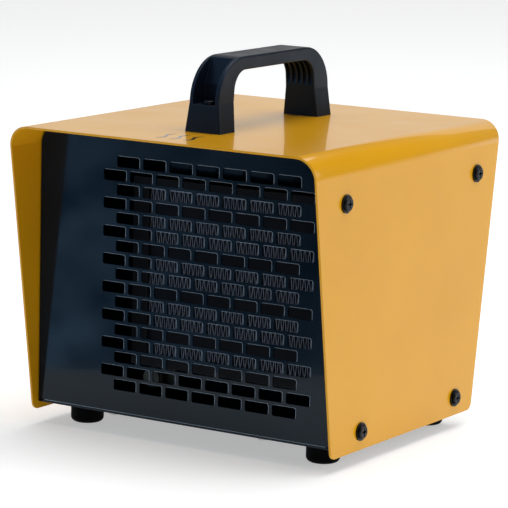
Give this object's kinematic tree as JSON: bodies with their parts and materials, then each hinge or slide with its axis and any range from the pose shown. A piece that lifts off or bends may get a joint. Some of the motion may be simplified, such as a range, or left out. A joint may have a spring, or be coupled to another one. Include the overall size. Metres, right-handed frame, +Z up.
{
  "type": "ceramic space heater",
  "caption": "Portable ceramic fan heater with a bent sheet cover, a punched front panel over a finned ceramic core, a rear fan with two dials, a carrying handle and rubber feet.",
  "frame": {"origin": "on the floor under the middle of the heater", "axes": "+Z up, the front panel faces -Y, +X to the right seen from the front"},
  "size_m": [0.2052, 0.208, 0.2166],
  "materials": {
    "yellow_paint": "gloss",
    "black_paint": "gloss, light orange peel",
    "black_screw": "satin",
    "zinc_steel": "satin zinc",
    "black_steel": "satin",
    "bright_steel": "ground",
    "lamination_steel": "satin",
    "black_aluminium": "black insulating coat",
    "fin_aluminium": "satin",
    "electrode_brass": "satin",
    "bronze": "satin",
    "copper_wire": "enamelled",
    "amber_film": "satin",
    "ceramic": "matte",
    "rubber": "matte",
    "handle_plastic": "satin, fine grain",
    "holder_plastic": "matte",
    "fan_plastic": "satin",
    "control_plastic": "matte",
    "knob_plastic": "satin",
    "gland_plastic": "satin",
    "terminal_plastic": "matte"
  },
  "bodies": {
    "heater": {"air_duct": "zinc_steel", "base_plate": "black_paint", "base_screws": "zinc_steel", "bearing_bracket_front": "zinc_steel", "bearing_bracket_rear": "zinc_steel", "bearings": "bronze", "ceramic_stones": "ceramic", "control_nuts": "zinc_steel", "core_baffle": "black_paint", "core_holder_left": "holder_plastic", "core_holder_right": "holder_plastic", "core_rail_low": "black_steel", "core_rail_top": "black_steel", "core_screws": "zinc_steel", "cover": "yellow_paint", "electrodes": "electrode_brass", "fan_shroud": "black_paint", "fin_strips_1": "fin_aluminium", "fin_strips_2": "fin_aluminium", "fin_strips_3": "fin_aluminium", "fin_strips_4": "fin_aluminium", "foot_front_left": "rubber", "foot_front_right": "rubber", "foot_nuts": "zinc_steel", "foot_rear_left": "rubber", "foot_rear_right": "rubber", "foot_screws": "zinc_steel", "front_panel": "black_paint", "gland_body": "gland_plastic", "gland_cap": "gland_plastic", "gland_locknut": "gland_plastic", "handle": "handle_plastic", "handle_nuts": "zinc_steel", "handle_screws": "black_screw", "handle_washers": "zinc_steel", "heater_tube_1": "black_aluminium", "heater_tube_2": "black_aluminium", "heater_tube_3": "black_aluminium", "heater_tube_4": "black_aluminium", "insulating_sleeves": "amber_film", "motor_bolts": "zinc_steel", "motor_nuts": "zinc_steel", "motor_strap": "zinc_steel", "rear_panel": "black_paint", "selector_body": "control_plastic", "side_nuts": "zinc_steel", "side_screws": "black_screw", "stator_coil": "copper_wire", "stator_core": "lamination_steel", "terminal_block": "terminal_plastic", "terminal_screws": "electrode_brass", "thermal_cutout": "zinc_steel", "thermostat_body": "control_plastic"},
    "fan": {"impeller": "fan_plastic", "fan_shaft": "bright_steel", "fan_rotor": "bright_steel"},
    "thermostat_dial": {"thermostat_knob": "knob_plastic", "thermostat_spindle": "bright_steel"},
    "selector_dial": {"selector_knob": "knob_plastic", "selector_spindle": "bright_steel"}
  },
  "joints": [
    {"name": "fan_spin", "type": "hinge", "parent": "heater", "child": "fan", "pos_m": [0.0235, 0.017, 0.094], "axis": [0, 1, 0], "continuous": true},
    {"name": "thermostat_turn", "type": "hinge", "parent": "heater", "child": "thermostat_dial", "pos_m": [-0.068, 0.083, 0.134], "axis": [0, -1, 0], "range_deg": [0, 270]},
    {"name": "selector_turn", "type": "hinge", "parent": "heater", "child": "selector_dial", "pos_m": [-0.068, 0.083, 0.091], "axis": [0, -1, 0], "range_deg": [0, 180]}
  ]
}
